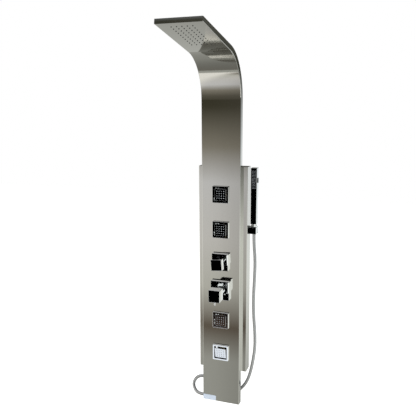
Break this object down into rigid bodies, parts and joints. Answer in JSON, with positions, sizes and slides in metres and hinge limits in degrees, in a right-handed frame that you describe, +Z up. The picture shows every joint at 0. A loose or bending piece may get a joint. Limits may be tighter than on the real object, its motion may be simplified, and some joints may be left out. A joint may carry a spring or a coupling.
{
  "type": "rainfall shower column",
  "caption": "Wall-mounted steel shower column with a bent rain head, aimable square body jets, diverter and mixer knobs, and a bar hand shower on a hose.",
  "frame": {"origin": "centre of the four wall screw holes, in the wall plane", "axes": "+Z up the column, +Y into the wall, +X to the bather's right as they face the column"},
  "size_m": [0.3029, 0.529, 1.5997],
  "materials": {
    "panel_steel": "vertical brushed grain, satin",
    "bracket_steel": "mill finish, folded sheet",
    "plate_silver": "fine satin, blank",
    "tray_plastic": "moulded, slightly rough",
    "nozzle_rubber": "soft matt silicone",
    "nozzle_dark": "soft matt silicone",
    "seal_rubber": "matt",
    "chrome_trim": "polished",
    "chrome_face": "polished",
    "chrome_knob": "polished",
    "chrome_handset": "polished",
    "black_plate": "gloss",
    "brass_fitting": "cast and turned, unplated",
    "steel_pipe": "drawn tube, dull",
    "zinc_hardware": "zinc passivated, dull",
    "silver_hose": "smooth silver coating under clear cover"
  },
  "bodies": {
    "column": {"column_panel": "panel_steel", "arm_cover": "panel_steel", "wing_panel": "panel_steel", "wall_brackets": "bracket_steel", "hanger_rails": "bracket_steel", "outlet_strap": "bracket_steel", "corner_plate": "plate_silver", "rain_tray": "tray_plastic", "rain_tray_lid": "tray_plastic", "diverter_cartridge": "tray_plastic", "mixer_cartridge": "tray_plastic", "jet_1_housing": "tray_plastic", "jet_2_housing": "tray_plastic", "jet_3_housing": "tray_plastic", "jet_4_housing": "tray_plastic", "rain_nozzles": "nozzle_dark", "diverter_plate": "chrome_trim", "mixer_plate": "chrome_trim", "jet_1_frame": "chrome_trim", "jet_2_frame": "chrome_trim", "jet_3_frame": "chrome_trim", "jet_4_frame": "chrome_trim", "handset_holder": "chrome_handset", "diverter_body": "brass_fitting", "mixer_body": "brass_fitting", "outlet_union": "brass_fitting", "jet_ring_nuts": "brass_fitting", "hose_outlet_nut": "brass_fitting", "rain_feed_pipe": "steel_pipe", "jet_manifold": "steel_pipe", "link_pipe": "steel_pipe", "handset_feed_pipe": "steel_pipe", "jet_clamps": "zinc_hardware", "jet_screws": "zinc_hardware", "holder_screws": "zinc_hardware", "shower_hose": "silver_hose"},
    "diverter_knob": {"diverter_knob": "chrome_knob", "diverter_grub_screw": "zinc_hardware", "diverter_stem": "brass_fitting"},
    "mixer_collar": {"mixer_collar": "chrome_trim"},
    "mixer_knob": {"mixer_knob": "chrome_knob", "mixer_lever": "chrome_knob"},
    "jet_1_seal": {"jet_1_seal": "seal_rubber"},
    "jet_1_face": {"jet_1_face": "chrome_face", "jet_1_nozzles": "nozzle_rubber"},
    "jet_2_seal": {"jet_2_seal": "seal_rubber"},
    "jet_2_face": {"jet_2_face": "chrome_face", "jet_2_nozzles": "nozzle_rubber"},
    "jet_3_seal": {"jet_3_seal": "seal_rubber"},
    "jet_3_face": {"jet_3_face": "chrome_face", "jet_3_nozzles": "nozzle_rubber"},
    "jet_4_seal": {"jet_4_seal": "seal_rubber"},
    "jet_4_face": {"jet_4_face": "chrome_face", "jet_4_nozzles": "nozzle_rubber"},
    "handset": {"handset_body": "chrome_handset", "handset_faceplate": "black_plate", "handset_nozzles": "nozzle_rubber", "handset_collar": "chrome_handset", "hose_cone_nut": "chrome_handset"},
    "handset_button": {"handset_button": "chrome_handset"}
  },
  "joints": [
    {"name": "diverter_turn", "type": "hinge", "parent": "column", "child": "diverter_knob", "pos_m": [0, -0.1, 0.05], "axis": [0, -1, 0], "continuous": true},
    {"name": "mixer_turn", "type": "hinge", "parent": "column", "child": "mixer_collar", "pos_m": [0, -0.099, -0.0775], "axis": [0, -1, 0], "range_deg": [-50, 50]},
    {"name": "mixer_lift", "type": "hinge", "parent": "mixer_collar", "child": "mixer_knob", "pos_m": [0, -0.099, -0.0775], "axis": [-1, 0, 0], "range_deg": [0, 25]},
    {"name": "jet_1_pan", "type": "hinge", "parent": "column", "child": "jet_1_seal", "pos_m": [0, -0.075, 0.3425], "axis": [0, 0, 1], "range_deg": [-12, 12]},
    {"name": "jet_1_tilt", "type": "hinge", "parent": "jet_1_seal", "child": "jet_1_face", "pos_m": [0, -0.075, 0.3425], "axis": [1, 0, 0], "range_deg": [-12, 12]},
    {"name": "jet_2_pan", "type": "hinge", "parent": "column", "child": "jet_2_seal", "pos_m": [0, -0.075, 0.1905], "axis": [0, 0, 1], "range_deg": [-12, 12]},
    {"name": "jet_2_tilt", "type": "hinge", "parent": "jet_2_seal", "child": "jet_2_face", "pos_m": [0, -0.075, 0.1905], "axis": [1, 0, 0], "range_deg": [-12, 12]},
    {"name": "jet_3_pan", "type": "hinge", "parent": "column", "child": "jet_3_seal", "pos_m": [0, -0.075, -0.2175], "axis": [0, 0, 1], "range_deg": [-12, 12]},
    {"name": "jet_3_tilt", "type": "hinge", "parent": "jet_3_seal", "child": "jet_3_face", "pos_m": [0, -0.075, -0.2175], "axis": [1, 0, 0], "range_deg": [-12, 12]},
    {"name": "jet_4_pan", "type": "hinge", "parent": "column", "child": "jet_4_seal", "pos_m": [0, -0.075, -0.3695], "axis": [0, 0, 1], "range_deg": [-12, 12]},
    {"name": "jet_4_tilt", "type": "hinge", "parent": "jet_4_seal", "child": "jet_4_face", "pos_m": [0, -0.075, -0.3695], "axis": [1, 0, 0], "range_deg": [-24, 0]},
    {"name": "handset_lift", "type": "slide", "parent": "column", "child": "handset", "axis": [0, 0, 1], "range_m": [0, 0.07]},
    {"name": "handset_button_push", "type": "slide", "parent": "handset", "child": "handset_button", "axis": [-1, 0, 0], "range_m": [0, 0.002], "stiffness_N_per_m": 400}
  ]
}
